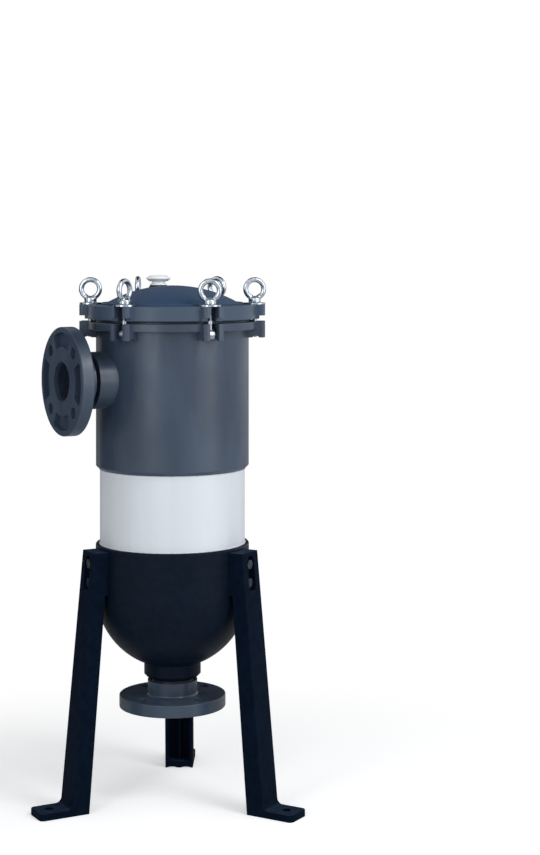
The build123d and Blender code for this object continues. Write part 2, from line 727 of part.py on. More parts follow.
# Bag seat: a flat ring held between the tube's end and the head's shoulder
with BuildPart() as bag_seat:
    with BuildSketch(Plane.XY.offset(seat_bottom)):
        Circle(tube_r)
        Circle(seat_bore_r, mode=Mode.SUBTRACT)
    extrude(amount=seat_thickness)
bag_seat.part.label = "bag_seat"
export_step(bag_seat.part, "parts/bag_seat.step")

# Basket: a perforated cup that hangs from the bag seat by its rim
with BuildPart() as basket:
    with BuildSketch(Plane.XY.offset(basket_bottom)):
        Circle(basket_r)
    extrude(amount=basket_rim_z + basket_rim_height - basket_bottom)
    fillet(basket.edges().group_by(Axis.Z)[0], basket_edge_r)
    offset(amount=-basket_wall, openings=basket.faces().sort_by(Axis.Z)[-1])
    with BuildSketch(Plane.XY.offset(basket_rim_z)):
        Circle(basket_rim_r)
        Circle(basket_inner_r, mode=Mode.SUBTRACT)
    extrude(amount=basket_rim_height)
    first_row = basket_floor_z + basket_row_pitch / 2 + basket_edge_r
    for column in range(basket_columns):
        shift = basket_row_pitch / 2 * (column % 2)
        rows = [first_row + shift + basket_row_pitch * row for row in range(basket_rows)]
        with BuildSketch(facing(360 / basket_columns * column, 0, 0)):
            with Locations(*[(0, z) for z in rows]):
                Circle(basket_hole_r)
        extrude(amount=basket_r + basket_wall, mode=Mode.SUBTRACT)
    with BuildSketch(Plane.XY.offset(basket_bottom)):
        Circle(basket_hole_r)
        with PolarLocations(basket_floor_pcd_r, basket_floor_holes):
            Circle(basket_hole_r)
    extrude(amount=basket_wall, mode=Mode.SUBTRACT)
basket.part.label = "basket"
export_step(basket.part, "parts/basket.step")

# Bag collar: the moulded ring at the bag's mouth, with two hoops to pull it out by
with BuildPart() as bag_collar:
    collar_inner_r = bag_r - bag_wall - cement_gap - bag_collar_wall
    with BuildSketch(Plane.XY.offset(bag_collar_z - bag_collar_skirt)):
        Circle(collar_inner_r + bag_collar_wall)
        Circle(collar_inner_r, mode=Mode.SUBTRACT)
    extrude(amount=bag_collar_skirt)
    with BuildSketch(Plane.XY.offset(bag_collar_z)):
        Circle(bag_collar_lip_r)
        Circle(collar_inner_r, mode=Mode.SUBTRACT)
    extrude(amount=bag_collar_lip)
    for angle in (90, 270):
        handle_foot = level(angle, (collar_inner_r + bag_collar_lip_r) / 2, bag_collar_z + bag_collar_lip)
        with BuildSketch(handle_foot):
            with Locations((0, bag_handle_r)):
                Circle(bag_handle_wire_r)
        revolve(axis=Axis(handle_foot.origin, handle_foot.x_dir), revolution_arc=180)
bag_collar.part.label = "bag_collar"
export_step(bag_collar.part, "parts/bag_collar.step")

# Filter bag: a felt sleeve with a closed round bottom, welded to its collar's skirt
with BuildPart() as filter_bag:
    with BuildSketch(Plane.XY.offset(bag_bottom)):
        Circle(bag_r)
    extrude(amount=bag_collar_z - cement_gap - bag_bottom)
    fillet(filter_bag.edges().group_by(Axis.Z)[0], bag_edge_r)
    offset(amount=-bag_wall, openings=filter_bag.faces().sort_by(Axis.Z)[-1])
filter_bag.part.label = "filter_bag"
export_step(filter_bag.part, "parts/filter_bag.step")
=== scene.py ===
from math import cos, pi, radians, sin

import bmesh
import bpy
from mathutils import Matrix, Vector


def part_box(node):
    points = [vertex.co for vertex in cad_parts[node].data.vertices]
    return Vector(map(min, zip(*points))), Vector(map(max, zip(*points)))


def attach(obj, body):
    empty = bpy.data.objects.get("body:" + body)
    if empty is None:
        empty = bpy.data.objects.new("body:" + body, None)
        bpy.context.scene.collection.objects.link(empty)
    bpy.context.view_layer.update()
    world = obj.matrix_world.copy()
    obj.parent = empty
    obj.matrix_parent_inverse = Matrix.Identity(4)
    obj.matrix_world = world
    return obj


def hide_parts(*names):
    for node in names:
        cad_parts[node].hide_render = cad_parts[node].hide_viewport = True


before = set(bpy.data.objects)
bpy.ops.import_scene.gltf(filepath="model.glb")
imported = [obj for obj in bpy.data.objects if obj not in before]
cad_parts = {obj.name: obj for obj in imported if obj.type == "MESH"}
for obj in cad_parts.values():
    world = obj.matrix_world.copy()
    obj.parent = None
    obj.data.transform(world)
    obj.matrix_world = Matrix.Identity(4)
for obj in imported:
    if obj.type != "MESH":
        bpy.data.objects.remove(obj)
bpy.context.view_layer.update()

# Bag filter housing: a glued plastic vessel on three legs, closed by a lid with six swing
# bolts. Every length is in metres, +Z is up, and the vessel's axis is the Z axis.

# Photographer's camera
# A level camera just above the height of the eye nuts, with a long lens and the film shifted
# down so that the feet are in the picture and upright edges stay upright.
view_turn = radians(-29)
away = Vector((-sin(view_turn), cos(view_turn), 0))
rightward = Vector((cos(view_turn), sin(view_turn), 0))
camera_distance, camera_sideways, camera_height = 2.803, 0.1518, 0.854
photo_height, focal_px, horizon_px = 855, 1800, 247
film = bpy.data.cameras.new("camera")
film.sensor_width = 36
film.lens = focal_px * film.sensor_width / photo_height
film.shift_y = (horizon_px - photo_height / 2) / photo_height
camera = bpy.data.objects.new("camera", film)
camera.location = -camera_distance * away + camera_sideways * rightward + Vector((0, 0, camera_height))
camera.rotation_euler = (pi / 2, 0, view_turn)
bpy.context.scene.collection.objects.link(camera)
bpy.context.scene.camera = camera
bpy.context.scene.view_settings.view_transform = "Standard"

# Studio: a white room, soft boxes and flats
# The room is white to the eye and in reflections, and lights the part from all round at a
# lower level. A tall soft box stands at the right, a weaker one at the left, and one hangs
# high between them. Dark flats behind, at the left and overhead shade gloss and steel.
room = bpy.data.worlds.new("white_room")
room.use_nodes = True
bpy.context.scene.world = room
room_nodes, room_links = room.node_tree.nodes, room.node_tree.links
room_light = room_nodes["Background"]
room_light.inputs["Color"].default_value = (0.94, 0.97, 1.0, 1)
room_light.inputs["Strength"].default_value = 0.60
room_white = room_nodes.new("ShaderNodeBackground")
room_white.inputs["Color"].default_value = (1, 1, 1, 1)
room_white.inputs["Strength"].default_value = 1.0
room_path = room_nodes.new("ShaderNodeLightPath")
room_seen = room_path.outputs["Is Camera Ray"]
for ray in ("Is Glossy Ray", "Is Transmission Ray"):
    either = room_nodes.new("ShaderNodeMath")
    either.operation = "MAXIMUM"
    room_links.new(room_seen, either.inputs[0])
    room_links.new(room_path.outputs[ray], either.inputs[1])
    room_seen = either.outputs[0]
room_mix = room_nodes.new("ShaderNodeMixShader")
room_links.new(room_seen, room_mix.inputs["Fac"])
room_links.new(room_light.outputs[0], room_mix.inputs[1])
room_links.new(room_white.outputs[0], room_mix.inputs[2])
room_links.new(room_mix.outputs[0], room_nodes["World Output"].inputs["Surface"])
vessel_middle = Vector((0, 0, 0.45))


def stand(thing, sideways, towards_camera, height):
    """Sets a lamp or a flat up beside the vessel, facing its middle."""
    thing.location = sideways * rightward - towards_camera * away + Vector((0, 0, height))
    aim = vessel_middle - thing.location
    thing.rotation_euler = aim.to_track_quat("-Z", "Y").to_euler()
    bpy.context.scene.collection.objects.link(thing)


def soft_box(name, sideways, towards_camera, height, width, length, watts):
    """A rectangular soft box, its length upright."""
    lamp = bpy.data.lights.new(name, "AREA")
    lamp.shape = "RECTANGLE"
    lamp.size = width
    lamp.size_y = length
    lamp.energy = watts
    stand(bpy.data.objects.new(name, lamp), sideways, towards_camera, height)


soft_box("soft_box_right", sideways=2.2, towards_camera=1.4, height=1.1, width=1.5, length=1.8, watts=18)
soft_box("soft_box_left", sideways=-1.2, towards_camera=2.3, height=1.2, width=0.8, length=1.6, watts=15)
soft_box("soft_box_high", sideways=1.2, towards_camera=1.1, height=2.0, width=0.7, length=0.7, watts=12)


def square(name, half, finish):
    """A square sheet for the studio, this far from its middle to each edge."""
    mesh = bpy.data.meshes.new(name)
    corners = [(-half, -half, 0), (half, -half, 0), (half, half, 0), (-half, half, 0)]
    mesh.from_pydata(corners, [], [(0, 1, 2, 3)])
    mesh.materials.append(finish)
    return bpy.data.objects.new(name, mesh)


flat_black = bpy.data.materials.new("flat_black")
flat_black.use_nodes = True
flat_paint = flat_black.node_tree.nodes["Principled BSDF"]
flat_paint.inputs["Base Color"].default_value = (0.02, 0.02, 0.02, 1)
flat_paint.inputs["Roughness"].default_value = 1.0
for name, sideways, towards_camera, height, half in (("flat_left", -1.35, -0.55, 0.7, 0.6),
                                                     ("flat_behind", -0.2, -1.7, 0.75, 0.8),
                                                     ("flat_top", 0.0, -0.7, 2.2, 0.9)):
    flat = square(name, half, flat_black)
    flat.visible_camera = False
    stand(flat, sideways, towards_camera, height)

# Floor
# A plain pale sheet of paper. It takes the feet's soft shadows and turns pure white away
# from the vessel, so that it meets the white room without a line.
floor_half, floor_glow, shadow_edge, white_edge = 12.0, 0.42, 0.24, 0.80
pale_sheet = bpy.data.materials.new("pale_sheet")
pale_sheet.use_nodes = True
sheet_nodes, sheet_links = pale_sheet.node_tree.nodes, pale_sheet.node_tree.links
sheet_paper = sheet_nodes["Principled BSDF"]
sheet_paper.inputs["Base Color"].default_value = (0.86, 0.86, 0.86, 1)
sheet_paper.inputs["Roughness"].default_value = 1.0
sheet_paper.inputs["Specular IOR Level"].default_value = 0.0
sheet_path = sheet_nodes.new("ShaderNodeLightPath")
sheet_glow = sheet_nodes.new("ShaderNodeEmission")
sheet_glow_level = sheet_nodes.new("ShaderNodeMath")
sheet_glow_level.operation = "MULTIPLY"
sheet_glow_level.inputs[1].default_value = floor_glow
sheet_sum = sheet_nodes.new("ShaderNodeAddShader")
sheet_links.new(sheet_path.outputs["Is Camera Ray"], sheet_glow_level.inputs[0])
sheet_links.new(sheet_glow_level.outputs[0], sheet_glow.inputs["Strength"])
sheet_links.new(sheet_paper.outputs[0], sheet_sum.inputs[0])
sheet_links.new(sheet_glow.outputs[0], sheet_sum.inputs[1])
sheet_place = sheet_nodes.new("ShaderNodeTexCoord")
sheet_distance = sheet_nodes.new("ShaderNodeVectorMath")
sheet_distance.operation = "LENGTH"
sheet_fade = sheet_nodes.new("ShaderNodeMapRange")
sheet_fade.interpolation_type = "SMOOTHSTEP"
sheet_fade.inputs["From Min"].default_value = shadow_edge
sheet_fade.inputs["From Max"].default_value = white_edge
sheet_far = sheet_nodes.new("ShaderNodeMath")
sheet_far.operation = "MULTIPLY"
sheet_white = sheet_nodes.new("ShaderNodeEmission")
sheet_white.inputs["Strength"].default_value = 1.0
sheet_mix = sheet_nodes.new("ShaderNodeMixShader")
sheet_links.new(sheet_place.outputs["Object"], sheet_distance.inputs[0])
sheet_links.new(sheet_distance.outputs["Value"], sheet_fade.inputs["Value"])
sheet_links.new(sheet_fade.outputs["Result"], sheet_far.inputs[0])
sheet_links.new(sheet_path.outputs["Is Camera Ray"], sheet_far.inputs[1])
sheet_links.new(sheet_far.outputs[0], sheet_mix.inputs["Fac"])
sheet_links.new(sheet_sum.outputs[0], sheet_mix.inputs[1])
sheet_links.new(sheet_white.outputs[0], sheet_mix.inputs[2])
sheet_links.new(sheet_mix.outputs[0], sheet_nodes["Material Output"].inputs["Surface"])
studio_floor = square("studio_floor", floor_half, pale_sheet)
bpy.context.scene.collection.objects.link(studio_floor)

# Head
# The upper shell: a thick slate-grey PVC moulding with the inlet collar on its side and a
# ring of six forked lugs round its mouth. It is glued over the end of the body tube.


def chip(red, green, blue):
    """A colour chip's 0-255 values as the shader takes them."""
    values = [value / 255 for value in (red, green, blue)]
    return [((v + 0.055) / 1.055) ** 2.4 if v > 0.04 else v / 12.92 for v in values] + [1.0]


def compound(name, roughness, gloss, metal=0.0):
    """A new material, with its gloss set on the shader's own sockets."""
    finish = bpy.data.materials.new(name)
    finish.use_nodes = True
    shader = finish.node_tree.nodes["Principled BSDF"]
    shader.inputs["Roughness"].default_value = roughness
    shader.inputs["Specular IOR Level"].default_value = gloss
    shader.inputs["Metallic"].default_value = metal
    return finish


def grain(finish, size, stretch=(1, 1, 1), detail=3.0):
    """Noise through the material, this size in metres from patch to patch, drawn out by stretch."""
    nodes, links = finish.node_tree.nodes, finish.node_tree.links
    place = nodes.new("ShaderNodeTexCoord")
    scale = nodes.new("ShaderNodeMapping")
    scale.inputs["Scale"].default_value = [1 / (size * s) for s in stretch]
    noise = nodes.new("ShaderNodeTexNoise")
    noise.inputs["Scale"].default_value = 1.0
    noise.inputs["Detail"].default_value = detail
    links.new(place.outputs["Object"], scale.inputs["Vector"])
    links.new(scale.outputs["Vector"], noise.inputs["Vector"])
    return noise.outputs["Fac"]


def spread(finish, socket, at_start, at_end, start=0.3, end=0.7):
    """The socket's value from start to end as a number from at_start to at_end, eased at both."""
    span = finish.node_tree.nodes.new("ShaderNodeMapRange")
    span.interpolation_type = "SMOOTHSTEP"
    span.inputs["From Min"].default_value = start
    span.inputs["From Max"].default_value = end
    span.inputs["To Min"].default_value = at_start
    span.inputs["To Max"].default_value = at_end
    finish.node_tree.links.new(socket, span.inputs["Value"])
    return span.outputs["Result"]


# The sockets of a Mix node that mixes colours.
under_colour, over_colour, mixed_colour = 6, 7, 2


def mottle(finish, socket, dark, light):
    """The colour drifts between two chips as the noise does."""
    nodes, links = finish.node_tree.nodes, finish.node_tree.links
    mix = nodes.new("ShaderNodeMix")
    mix.data_type = "RGBA"
    mix.inputs[under_colour].default_value = dark
    mix.inputs[over_colour].default_value = light
    links.new(spread(finish, socket, at_start=0, at_end=1), mix.inputs[0])
    links.new(mix.outputs[mixed_colour], nodes["Principled BSDF"].inputs["Base Color"])
    return mix.outputs[mixed_colour]


def polish(finish, roughness):
    """The roughness changes over the surface instead of being one number."""
    finish.node_tree.links.new(roughness, finish.node_tree.nodes["Principled BSDF"].inputs["Roughness"])


def surface(finish, socket, depth, edge=0.0):
    """A fine relief of this depth in metres, over edges that look rounded to the radius edge."""
    nodes, links = finish.node_tree.nodes, finish.node_tree.links
    bump = nodes.new("ShaderNodeBump")
    bump.inputs["Distance"].default_value = depth
    links.new(socket, bump.inputs["Height"])
    links.new(bump.outputs["Normal"], nodes["Principled BSDF"].inputs["Normal"])
    if edge:
        rounded = nodes.new("ShaderNodeBevel")
        rounded.samples = 4
        rounded.inputs["Radius"].default_value = edge
        links.new(rounded.outputs["Normal"], bump.inputs["Normal"])


def dress(finish, *solids):
    """Puts the finish on solids that stay as they are."""
    for solid in solids:
        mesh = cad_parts[solid].data
        mesh.materials.clear()
        mesh.materials.append(finish)


slate_pvc = compound("slate_pvc", roughness=0.34, gloss=0.42)
mottle(slate_pvc, grain(slate_pvc, 0.05, (1, 1, 2.5)), chip(47, 59, 76), chip(58, 72, 90))
slate_sheen = grain(slate_pvc, 0.02, (1, 1, 3))
polish(slate_pvc, spread(slate_pvc, slate_sheen, at_start=0.26, at_end=0.44, start=0.1, end=0.9))
surface(slate_pvc, grain(slate_pvc, 0.0016, detail=2.0), depth=0.00006, edge=0.0007)
dress(slate_pvc, "head")

# Body tube
# A length of white extruded pressure pipe. The die leaves faint lines along it, and the
# wall is satin, not polished.
white_pipe = compound("white_pipe", roughness=0.42, gloss=0.35)
mottle(white_pipe, grain(white_pipe, 0.03, (1, 1, 12)), chip(208, 213, 219), chip(213, 218, 224))
surface(white_pipe, grain(white_pipe, 0.003, (1, 1, 40), detail=1.0), depth=0.000012)
dress(white_pipe, "body_tube")

# Solvent cement
# The pipe joints are glued: a thin bead of cement is squeezed out and left round each pipe,
# milky on the white pipe and smoky on the nipples. It stays soft-edged and glossy.
bead_root, bead_lap, bead_rise, bead_steps = 0.0002, 0.0003, 0.9, 6


def skin(shape, sections):
    """Faces from each closed section of vertices to the next."""
    for here, there in zip(sections, sections[1:]):
        for i, corner in enumerate(here):
            j = (i + 1) % len(here)
            shape.faces.new((corner, there[i], there[j], here[j]))


def turned(outline, steps=144):
    """A mesh turned about the Z axis from (radius, height) points that run round the section."""
    shape = bmesh.new()
    sections = []
    for step in range(steps):
        turn = 2 * pi * step / steps
        sections.append([shape.verts.new((r * cos(turn), r * sin(turn), z)) for r, z in outline])
    skin(shape, sections + sections[:1])
    bmesh.ops.remove_doubles(shape, verts=shape.verts, dist=1e-7)
    bmesh.ops.recalc_face_normals(shape, faces=shape.faces)
    return shape


def placed(name, mesh, body):
    """A new piece with this mesh, on a body."""
    piece = bpy.data.objects.new(name, mesh)
    bpy.context.scene.collection.objects.link(piece)
    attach(piece, body)
    return piece


def made(name, shape, finish, body, crease=40):
    """A new piece from a bmesh, smooth but for edges sharper than crease degrees."""
    mesh = bpy.data.meshes.new(name)
    shape.to_mesh(mesh)
    shape.free()
    mesh.shade_smooth()
    mesh.set_sharp_from_angle(angle=radians(crease))
    mesh.materials.append(finish)
    return placed(name, mesh, body)


def bead(name, finish, pipe_r, seam, width, upwards=1):
    """A bead round an upright pipe, from the seam's height up or down the pipe."""
    section = [(pipe_r - bead_root, seam - bead_lap * upwards)]
    for step in range(bead_steps + 1):
        lie = pi / 2 * step / bead_steps
        section.append((pipe_r + width * cos(lie), seam + width * bead_rise * sin(lie) * upwards))
    section.append((pipe_r - bead_root, seam + width * bead_rise * upwards))
    return made(name, turned(section), finish, "vessel", crease=60)


milky_cement = compound("milky_cement", roughness=0.22, gloss=0.5)
mottle(milky_cement, grain(milky_cement, 0.006), chip(186, 193, 202), chip(212, 217, 223))
surface(milky_cement, grain(milky_cement, 0.004), depth=0.0003)
smoky_cement = compound("smoky_cement", roughness=0.25, gloss=0.5)
mottle(smoky_cement, grain(smoky_cement, 0.006), chip(36, 44, 56), chip(58, 67, 80))
surface(smoky_cement, grain(smoky_cement, 0.004), depth=0.0003)

tube_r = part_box("body_tube")[1][0]
head_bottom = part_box("head")[0][2]
bowl_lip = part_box("bowl")[1][2]
bead("cement_head", milky_cement, tube_r, head_bottom, width=0.0012, upwards=-1)
bead("cement_bowl", milky_cement, tube_r, bowl_lip, width=0.0016)

nipple_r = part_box("outlet_nipple")[1][0]
outlet_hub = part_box("outlet_flange")[1][2]
outlet_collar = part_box("bowl")[0][2]
bead("cement_outlet_hub", smoky_cement, nipple_r, outlet_hub, width=0.0009)
bead("cement_outlet_collar", smoky_cement, nipple_r, outlet_collar, width=0.0009, upwards=-1)
inlet_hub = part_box("inlet_flange")[1][0]
inlet_low, inlet_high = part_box("inlet_nipple")
inlet_axis = (inlet_low[2] + inlet_high[2]) / 2
inlet_bead = bead("cement_inlet_hub", smoky_cement, nipple_r, -inlet_hub, width=0.0009,
                  upwards=-1)
inlet_bead.matrix_world = Matrix.Translation((0, 0, inlet_axis)) @ Matrix.Rotation(-pi / 2, 4, "Y")

# Bowl
# The lower shell: near-black glass-filled polypropylene with a thick lip round the tube,
# a round bottom and the outlet collar. It is moulded in one piece with a fine eroded skin.
black_pp = compound("black_pp", roughness=0.42, gloss=0.06)
mottle(black_pp, grain(black_pp, 0.012), chip(10, 20, 32), chip(13, 24, 38))
surface(black_pp, grain(black_pp, 0.0009, detail=2.0), depth=0.00008, edge=0.0008)
dress(black_pp, "bowl")

# Inlet and outlet
# Two flanges of the head's grey compound with moulded pockets between their bolt holes.
# Each is glued on a short nipple of pipe that shows between flange and collar, coloured
# darker than the flanges as painted shade in that gap.
dress(slate_pvc, "inlet_flange", "outlet_flange")
# The nipple pipe is coloured darker than the flanges: painted shade between flange and collar.
painted_shade_pipe = compound("painted_shade_pipe", roughness=0.40, gloss=0.25)
mottle(painted_shade_pipe, grain(painted_shade_pipe, 0.01), chip(30, 38, 50), chip(40, 49, 62))
surface(painted_shade_pipe, grain(painted_shade_pipe, 0.0012), depth=0.00003)
dress(painted_shade_pipe, "inlet_nipple", "outlet_nipple")

# Legs
# Three channels moulded of the bowl's black compound, each with a saddle pad against the
# bowl, a recess for two bolts and a flat foot with an anchor hole. What faces up is painted a
# paler blue-grey in patches: painted top light.
leg_pp = compound("leg_pp", roughness=0.6, gloss=0.02)
leg_black = mottle(leg_pp, grain(leg_pp, 0.012), chip(6, 16, 30), chip(9, 21, 37))
leg_nodes, leg_links = leg_pp.node_tree.nodes, leg_pp.node_tree.links
leg_facing = leg_nodes.new("ShaderNodeNewGeometry")
leg_upward = leg_nodes.new("ShaderNodeSeparateXYZ")
leg_top_light_share = leg_nodes.new("ShaderNodeMath")
leg_top_light_share.operation = "MULTIPLY"
# This mix paints faces that point up a paler blue-grey, in patches: painted top light.
leg_painted_top_light = leg_nodes.new("ShaderNodeMix")
leg_painted_top_light.data_type = "RGBA"
leg_painted_top_light.inputs[over_colour].default_value = chip(38, 52, 70)
leg_links.new(leg_facing.outputs["Normal"], leg_upward.inputs[0])
leg_level = spread(leg_pp, leg_upward.outputs["Z"], at_start=0.0, at_end=1.0, start=0.7, end=0.98)
leg_patches = spread(leg_pp, grain(leg_pp, 0.008), at_start=0.35, at_end=0.9, start=0.2, end=0.8)
leg_links.new(leg_level, leg_top_light_share.inputs[0])
leg_links.new(leg_patches, leg_top_light_share.inputs[1])
leg_links.new(leg_top_light_share.outputs[0], leg_painted_top_light.inputs[0])
leg_links.new(leg_black, leg_painted_top_light.inputs[under_colour])
leg_links.new(leg_painted_top_light.outputs[mixed_colour], leg_nodes["Principled BSDF"].inputs["Base Color"])
surface(leg_pp, grain(leg_pp, 0.0008, detail=2.0), depth=0.0001, edge=0.0008)
dress(leg_pp, "leg_front_left", "leg_front_right", "leg_rear")

# Leg bolts and clamp pins
# Six hexagon screws with plain washers in the legs' recesses, and the six short pins that
# the swing bolts turn on. Rolled stainless steel; the screws and washers are coloured a dull
# dark grey.
dull_steel = compound("dull_steel", roughness=0.42, gloss=0.5, metal=1.0)
mottle(dull_steel, grain(dull_steel, 0.003), chip(52, 56, 62), chip(92, 97, 104))
surface(dull_steel, grain(dull_steel, 0.0006), depth=0.00003, edge=0.0003)
dress(dull_steel, "leg_bolts", "leg_washers")
rolled_steel = compound("rolled_steel", roughness=0.28, gloss=0.5, metal=1.0)
mottle(rolled_steel, grain(rolled_steel, 0.004), chip(132, 139, 148), chip(172, 178, 185))
surface(rolled_steel, grain(rolled_steel, 0.0006), depth=0.00002, edge=0.0003)
dress(rolled_steel, "clamp_pins")

# Swing bolts
# Six forged stainless eye bolts, each with its eye round a pin in the head's slot, a thick
# root, a plain neck and a rolled M8 thread up into the eye nut.
clamp_turns = [radians(30 + 60 * k) for k in range(6)]
# The second clamp stands on the +Y axis, so its box gives the bolt circle and the eye.
bolt_low, bolt_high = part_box("swing_bolt_2")
clamp_r = (bolt_low[1] + bolt_high[1]) / 2
eye_r = (bolt_high[1] - bolt_low[1]) / 2
eye_z = bolt_low[2] + eye_r
eye_face_r, eye_bore_r, eye_half, eye_rim_half, eye_bevel = 0.0077, 0.0042, 0.0055, 0.0043, 0.0005
thread_r, core_r, thread_depth, thread_pitch = 0.0040, 0.00335, 0.00075, 0.00125
thread_from, thread_lead, bolt_end = 0.7435, 0.0006, bolt_high[2] + 0.0028
core_end = bolt_end - 0.0001
root_and_neck = [(0.0, 0.0040), (0.0046, 0.0040), (0.0052, 0.0075), (0.0043, 0.0115), (thread_r, 0.0150)]
bolt_shape = turned([(r, eye_z + rise) for r, rise in root_and_neck]
                    + [(thread_r, thread_from), (core_r, thread_from + thread_lead),
                       (core_r, core_end), (0.0, core_end)], steps=32)
eye = turned([(eye_bore_r, -eye_half), (eye_bore_r + eye_bevel, -eye_half), (eye_face_r, -eye_half),
              (eye_r, -eye_rim_half), (eye_r, eye_rim_half), (eye_face_r, eye_half),
              (eye_bore_r + eye_bevel, eye_half), (eye_bore_r, eye_half - eye_bevel),
              (eye_bore_r, eye_bevel - eye_half)], steps=48)
eye.transform(Matrix.Translation((0, 0, eye_z)) @ Matrix.Rotation(pi / 2, 4, "X"))
eye_mesh = bpy.data.meshes.new("swing_bolt_eye")
eye.to_mesh(eye_mesh)
eye.free()
bolt_shape.from_mesh(eye_mesh)


def ends(shape, sections):
    """Closes a skin at its first and last section."""
    shape.faces.new(sections[0])
    shape.faces.new(reversed(sections[-1]))


thread_steps = 24
thread_last = thread_steps * (int((bolt_end - thread_from) / thread_pitch) - 1)
thread_stub = 0.15
thread_root_r, crest_half, root_half = 0.0031, 0.07 * thread_pitch, 0.45 * thread_pitch
thread = []
for step in range(thread_last + 1):
    turn = 2 * pi * step / thread_steps
    z = thread_from + thread_pitch * (step / thread_steps + 0.5)
    fade = min(1.0, step / thread_steps, (thread_last - step) / thread_steps + thread_stub)
    crest_r = thread_r - thread_depth + thread_depth * fade
    section = ((thread_root_r, z - root_half), (crest_r, z - crest_half),
               (crest_r, z + crest_half), (thread_root_r, z + root_half))
    thread.append([bolt_shape.verts.new((r * cos(turn), r * sin(turn), rise)) for r, rise in section])
skin(bolt_shape, thread)
ends(bolt_shape, thread)
bmesh.ops.recalc_face_normals(bolt_shape, faces=bolt_shape.faces)


def on_clamp(piece, clamp_turn, own_turn):
    """Puts a piece made on the Z axis in its place on the bolt circle, turned about itself."""
    place = Matrix.Translation((clamp_r * cos(clamp_turn), clamp_r * sin(clamp_turn), 0))
    piece.matrix_world = place @ Matrix.Rotation(own_turn, 4, "Z")


bolt = made("swing_bolt_forged_1", bolt_shape, rolled_steel, "clamp_1", crease=32)
for number, clamp_turn in enumerate(clamp_turns, 1):
    if number > 1:
        bolt = placed(f"swing_bolt_forged_{number}", bolt.data, f"clamp_{number}")
    on_clamp(bolt, clamp_turn, clamp_turn)
    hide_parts(f"swing_bolt_{number}")

# Clamp washers and eye nuts
# Wide plain washers that bridge the lid's slots, and cast round eye nuts, electropolished
# stainless steel. Each nut is a short boss run into its ring, bored for the bolt's end.
bright_steel = compound("bright_steel", roughness=0.16, gloss=0.5, metal=1.0)
mottle(bright_steel, grain(bright_steel, 0.006), chip(156, 165, 177), chip(196, 203, 211))
surface(bright_steel, grain(bright_steel, 0.0020), depth=0.00006, edge=0.0004)
dress(bright_steel, *[f"clamp_washer_{number}" for number in range(1, 7)])

# The way each ring faces, as the nuts were left when they were tightened.
ring_facings = [radians(facing) for facing in (206, 151, 241, 301, 241, 251)]
nut_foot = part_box("eye_nut_2")[0][2]
boss = [(0.0, 0.0), (0.0091, 0.0), (0.0096, 0.0005), (0.0096, 0.0060), (0.0090, 0.0074),
        (0.0074, 0.0084), (0.0060, 0.0100), (0.0, 0.0100)]
nut_shape = turned([(r, nut_foot + rise) for r, rise in boss], steps=64)
ring_mid_r, wire_r, wire_swell, ring_rise = 0.0142, 0.0040, 0.16, 0.0212
ring_z = nut_foot + ring_rise
ring_steps, wire_steps = 96, 28
ring = []
for step in range(ring_steps):
    turn = 2 * pi * step / ring_steps
    swell = 1 + wire_swell * max(0.0, -sin(turn)) ** 4
    loop = []
    for part in range(wire_steps):
        lie = 2 * pi * part / wire_steps
        reach = ring_mid_r + wire_r * cos(lie)
        side = wire_r * swell * sin(lie)
        loop.append(nut_shape.verts.new((reach * cos(turn), side, ring_z + reach * sin(turn))))
    ring.append(loop)
skin(nut_shape, ring + ring[:1])
bmesh.ops.recalc_face_normals(nut_shape, faces=nut_shape.faces)
nut_crease = 50
nut = made("eye_nut_cast_1", nut_shape, bright_steel, "nut_1", crease=nut_crease)
fuse = nut.modifiers.new("fuse", "REMESH")
fuse.mode = "VOXEL"
fuse.voxel_size = 0.0007
fuse.use_smooth_shade = True
soften = nut.modifiers.new("soften", "SMOOTH")
soften.factor = 0.5
soften.iterations = 4
drill_r, drill_from, drill_to = 0.0041, nut_foot - 0.002, ring_z - 0.0080
drill_shape = turned([(0.0, drill_from), (drill_r, drill_from), (drill_r, drill_to), (0.0, drill_to)],
                     steps=48)
drill_mesh = bpy.data.meshes.new("nut_drill")
drill_shape.to_mesh(drill_mesh)
drill_shape.free()
drill = bpy.data.objects.new("nut_drill", drill_mesh)
bpy.context.scene.collection.objects.link(drill)
bore = nut.modifiers.new("bore", "BOOLEAN")
bore.operation = "DIFFERENCE"
bore.object = drill
machined = bpy.context.evaluated_depsgraph_get()
nut_mesh = bpy.data.meshes.new_from_object(nut.evaluated_get(machined), depsgraph=machined)
nut_mesh.name = "eye_nut_cast"
nut_mesh.set_sharp_from_angle(angle=radians(nut_crease))
nut_mesh.materials.clear()
nut_mesh.materials.append(bright_steel)
nut.modifiers.clear()
nut.data = nut_mesh
bpy.data.objects.remove(drill)
for number, (clamp_turn, facing) in enumerate(zip(clamp_turns, ring_facings), 1):
    if number > 1:
        nut = placed(f"eye_nut_cast_{number}", nut_mesh, f"nut_{number}")
    on_clamp(nut, clamp_turn, facing + pi / 2)
    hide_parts(f"eye_nut_{number}")

